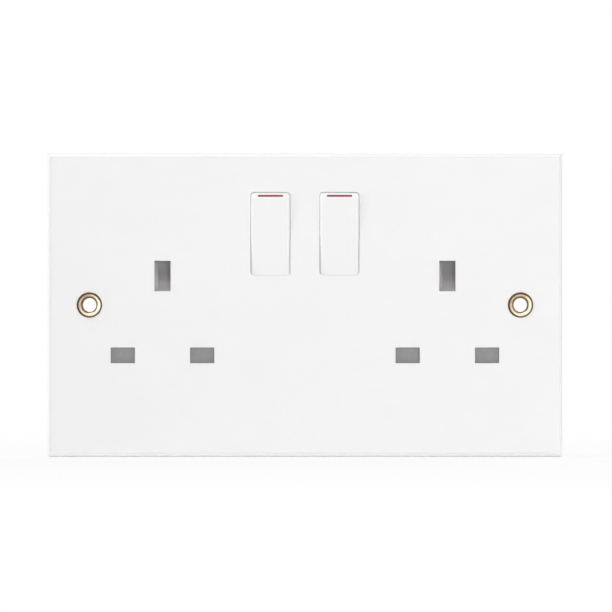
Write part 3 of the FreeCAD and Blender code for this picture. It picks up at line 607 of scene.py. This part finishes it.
# %% [markdown]
# ## The screws
# A screw is a turned shank and head with a slot. The slot could be pushed in by moving faces, but then the
# rings would have to match its sides. A Boolean modifier with a thin block cuts it anywhere, and a Bevel
# modifier then breaks the new sharp edges, as the zinc plating and the driver do.

# %% Cut a slotted screw
# Sizes in mm
SLOT_WIDTH = 0.8
SLOT_LENGTH = 8.0
SLOT_BEVEL = 0.07
SHARP = math.radians(60)
SCREW_SIDES = 64


def press(piece, kind, **settings):
    """Add one modifier, set it and apply it."""
    start_clean()
    piece.select_set(True)
    bpy.context.view_layer.objects.active = piece
    modifier = piece.modifiers.new(kind.lower(), kind)
    for key, value in settings.items():
        setattr(modifier, key, value)
    bpy.ops.object.modifier_apply(modifier=modifier.name)


def slotted_screw(name, head, slot_depth, profile):
    screw = turned(name, profile, SCREW_SIDES, tube=False)
    start_clean()
    bpy.ops.mesh.primitive_cube_add(size=1, location=(0, head * MM, 0),
                                    scale=(SLOT_WIDTH * MM, 2 * slot_depth * MM, SLOT_LENGTH * MM))
    cutter = bpy.context.object
    press(screw, "BOOLEAN", operation="DIFFERENCE", solver="EXACT", object=cutter)
    bpy.data.objects.remove(cutter)
    press(screw, "BEVEL", width=SLOT_BEVEL * MM, segments=2, limit_method="ANGLE", angle_limit=SHARP)
    bpy.ops.object.shade_smooth_by_angle(angle=SMOOTH)
    return screw


def joined(name, pieces):
    start_clean()
    for piece in pieces:
        piece.select_set(True)
    bpy.context.view_layer.objects.active = pieces[0]
    bpy.ops.object.join()
    pieces[0].name = name
    return pieces[0]


def head_stations(seat, head, radius):
    """The outline of a cheese head: a chamfered seat, a straight side and a softly domed top.

    Its last ring is narrower than the slot, which leaves no slivers beside the cut.
    """
    return [(radius - 0.2, seat), (radius, seat + 0.15), (radius, head - 0.42), (radius - 0.06, head - 0.22),
            (radius - 0.22, head - 0.1), (radius - 0.6, head - 0.03), (0.3 * SLOT_WIDTH, head)]


# %% [markdown]
# ## Two sets of screws
# Four short screws clamp the wires in the terminals, and three long ones hold the two mouldings together.
# Each set is one node in the CAD model, so its copies are joined into one piece. Each slot stops at
# an angle of its own, because nobody lines screws up.

# %% Make both sets of screws
HEAD_RADIUS = 2.6
TIP_CHAMFER = 0.4


def screw_set(name, node, places, shank, tip, seat, turns):
    """One copy of a screw for each place, in mm, with its head as high as the CAD screws'."""
    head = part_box(node)[1].y / MM
    profile = [(shank - TIP_CHAMFER, tip), (shank, tip + TIP_CHAMFER), (shank, seat)]
    profile += head_stations(seat, head, HEAD_RADIUS)
    screw = slotted_screw("screw", head, (head - seat) / 2, profile)
    made = [copied(screw, f"{name}_{number}", (x * MM, 0, z * MM), turn)
            for number, ((x, z), turn) in enumerate(zip(places, turns))]
    bpy.data.objects.remove(screw)
    whole = joined(name, made)
    stands_for(whole, "screw_steel", node)
    print(name, "screws:", len(places), "faces:", len(whole.data.polygons))


TERMINAL_PLACES = [(-7.0, -23.0), (8.0, -23.0), (-21.0, 7.5), (21.0, 7.5)]
CASE_PLACES = [(-46.0, 26.0), (46.0, 26.0), (0.0, -6.3)]
screw_set("terminal_screws_turned", "terminal_screws", TERMINAL_PLACES, shank=1.75, tip=14.05, seat=15.7,
          turns=(0.2, -0.5, 0.9, -0.15))
screw_set("case_screws_turned", "case_screws", CASE_PLACES, shank=1.35, tip=-4.8, seat=6.0,
          turns=(0.35, -0.7, 0.1))

# %% [markdown]
# ## Raised letters
# Beside each terminal a letter stands in a shallow pad of the rear moulding: L for line, N for neutral and
# E for earth. A letter could be extruded from planes, but a text object has clean, even strokes. It faces
# the rear with its top up, gets its thickness and a small bevel from its own settings, and becomes a
# mesh before its place is applied.

# %% Set the letters
# Sizes and places in mm
LETTER_SIZE = 4.4
LETTER_HEIGHT = 0.36
LETTER_BEVEL = 0.04
PAD_FLOOR = 17.0
LETTER_PLACES = [("L", -15.75, -23.0), ("N", 16.75, -23.0), ("E", -29.75, 7.5), ("E", 29.75, 7.5)]
for number, (letter, x, z) in enumerate(LETTER_PLACES):
    start_clean()
    bpy.ops.object.text_add(location=(x * MM, (PAD_FLOOR + LETTER_HEIGHT / 2) * MM, z * MM),
                            rotation=(math.pi / 2, 0, math.pi))
    piece = bpy.context.object
    piece.name = f"terminal_letter_{letter}_{number}"
    piece.data.body = letter
    piece.data.size = LETTER_SIZE * MM
    piece.data.extrude = (LETTER_HEIGHT / 2 - LETTER_BEVEL) * MM
    piece.data.bevel_depth = LETTER_BEVEL * MM
    piece.data.align_x = "CENTER"
    piece.data.align_y = "CENTER"
    bpy.ops.object.convert(target="MESH")
    piece = bpy.context.object
    bpy.ops.object.transform_apply(location=True, rotation=True, scale=True)
    stands_for(piece, "rear_white")
    print(piece.name, [round(v / MM, 2) for v in piece.dimensions])

# %% [markdown]
# ## The shutter springs
# A small coil spring pushes each shutter up. A rigid spring would run into the shutter as that slides
# down. The scene winds its own, and a curve with a round bevel could make it, but the Screw modifier, which
# sweeps the wire's section round and up, keeps an even pitch. The CAD spring's box gives the coil's size.

# %% Wind the shutter springs
SPRING_WIRE = 0.18 * MM
SPRING_TURNS = 8
WIRE_SIDES = 12
STEPS_A_TURN = 32
WIRE_SMOOTH = math.radians(40)
low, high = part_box("shutter_spring_right")
length = high.z - low.z
start_clean()
bpy.ops.mesh.primitive_circle_add(vertices=WIRE_SIDES, radius=SPRING_WIRE, rotation=(math.pi / 2, 0, 0),
                                  location=((high.x - low.x) / 2 - SPRING_WIRE, 0, 0))
spring = bpy.context.object
bpy.ops.object.transform_apply(location=True, rotation=True, scale=True)
press(spring, "SCREW", iterations=SPRING_TURNS, steps=STEPS_A_TURN, render_steps=STEPS_A_TURN,
      screw_offset=(length - 2 * SPRING_WIRE) / SPRING_TURNS)
bpy.ops.object.mode_set(mode="EDIT")
bpy.ops.mesh.select_all(action="SELECT")
bpy.ops.mesh.fill_holes(sides=0)
bpy.ops.mesh.select_all(action="SELECT")
bpy.ops.mesh.normals_make_consistent(inside=False)
bpy.ops.object.mode_set(mode="OBJECT")
bpy.ops.object.shade_smooth_by_angle(angle=WIRE_SMOOTH)
print("wound", SPRING_TURNS, "turns over", round(length / MM, 2), "mm")

# %% [markdown]
# ## Springs in place
# Each spring goes where the CAD spring stood, its lower end on the moulding. The length it would keep as
# its shutter moves, its length less the shutter's travel that the joint gives, is printed.

# %% Set the shutter springs
for side in ("left", "right"):
    joint = next(j for j in frame["joints"] if j["name"] == f"shutter_{side}_slide")
    low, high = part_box("shutter_spring_" + side)
    middle = (low + high) / 2
    coil = copied(spring, "shutter_spring_wound_" + side, (middle.x, middle.y, low.z + SPRING_WIRE))
    stands_for(coil, "spring_steel", "shutter_spring_" + side)
    kept = 1 - joint["range_m"][1] / length
    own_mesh(coil)
    print(coil.name, [round(v / MM, 2) for v in coil.dimensions], "keeps", round(kept, 3))
bpy.data.objects.remove(spring)

# %% [markdown]
# ## The floor
# The photograph is a cut-out on pure white. More light could bleach the floor, but it would bleach the
# plate too. Instead the floor glows white to the camera and in reflections, and is plain pale paint
# to all other light. It glows less near the outlet, where a little of the shadow shows.

# %% Make the floor
# Metres
FLOOR_SIZE = 6.0
FLOOR_GAP = 0.05 * MM
start_clean()
bpy.ops.mesh.primitive_plane_add(size=FLOOR_SIZE, location=(0, 0, cad_box[0][2] - FLOOR_GAP))
floor = bpy.context.object
floor.name = "floor"
print("floor at z", round((cad_box[0][2] - FLOOR_GAP) / MM, 2), "mm")

# %% Paint the floor
# The glow near the outlet, and the distances in metres at which it starts to grow and is full
NEAR_GLOW, NEAR, FAR = 0.88, 0.08, 0.5
floor_finish = bpy.data.materials.new("floor_white")
floor_finish.use_nodes = True
paint = Graph(floor_finish.node_tree)
across, away, _ = paint.split(paint.node("TexCoord", output="Object"))
distance = (across * across + away * away) ** 0.5
glowing = paint.seen() * (NEAR_GLOW + (1 - NEAR_GLOW) * distance.step(NEAR, FAR))
pale = paint.node("BsdfDiffuse", {}, {"Color": rgb(0.9, 0.9, 0.9)})
glow = paint.node("Emission", {}, {"Color": rgb(1, 1, 1)})
mixed = paint.node("MixShader", {}, {0: glowing, 1: pale, 2: glow})
paint.tree.nodes.remove(paint.tree.nodes["Principled BSDF"])
connect(paint.tree, paint.tree.nodes["Material Output"].inputs["Surface"], mixed)
floor.data.materials.append(floor_finish)
print("floor glows", NEAR_GLOW, "near the outlet and 1 from", FAR, "m")

# %% [markdown]
# ## The light
# The light in the photograph is soft and comes from every side. A lamp near the camera reaches into the
# apertures, a tall lamp on each side draws a bright line along the upright edges, a smaller one
# above does the same for the upper edges, one behind lights the back for the other views, and a pale
# world fills the rest. The world shows white to the camera and in the metal, but shines much less.

# %% Light the outlet
def area_lamp(name, place, width, height, watts):
    data = bpy.data.lights.new(name, "AREA")
    data.shape = "RECTANGLE"
    data.size = width
    data.size_y = height
    data.energy = watts
    lamp = bpy.data.objects.new(name, data)
    bpy.context.scene.collection.objects.link(lamp)
    lamp.location = place
    aim = -lamp.location
    lamp.rotation_euler = aim.to_track_quat("-Z", "Y").to_euler()
    print(name, watts, "W at", place)


area_lamp("front_lamp", (0.15, -2.2, 0.02), 0.6, 0.3, 14.2)
area_lamp("left_lamp", (-1.6, -0.75, 0.1), 0.28, 1.4, 11.0)
area_lamp("right_lamp", (1.6, -0.75, -0.1), 0.28, 1.4, 9.1)
area_lamp("top_lamp", (-0.3, -0.3, 1.0), 0.6, 0.4, 3.6)
area_lamp("back_lamp", (0.5, 1.3, 0.8), 0.8, 0.6, 12.0)

# %% Light the rest
AMBIENT = 0.33
world = bpy.data.worlds.new("world")
bpy.context.scene.world = world
world.use_nodes = True
sky = Graph(world.node_tree)
background = sky.tree.nodes["Background"]
background.inputs["Color"].default_value = rgb(1, 1, 1)
connect(sky.tree, background.inputs["Strength"], AMBIENT + (1 - AMBIENT) * sky.seen())
print("ambient light", AMBIENT)

# %% [markdown]
# ## Finish
# The colours are shown as they are, with no film look.

# %% Close the script
bpy.context.scene.view_settings.view_transform = "Standard"
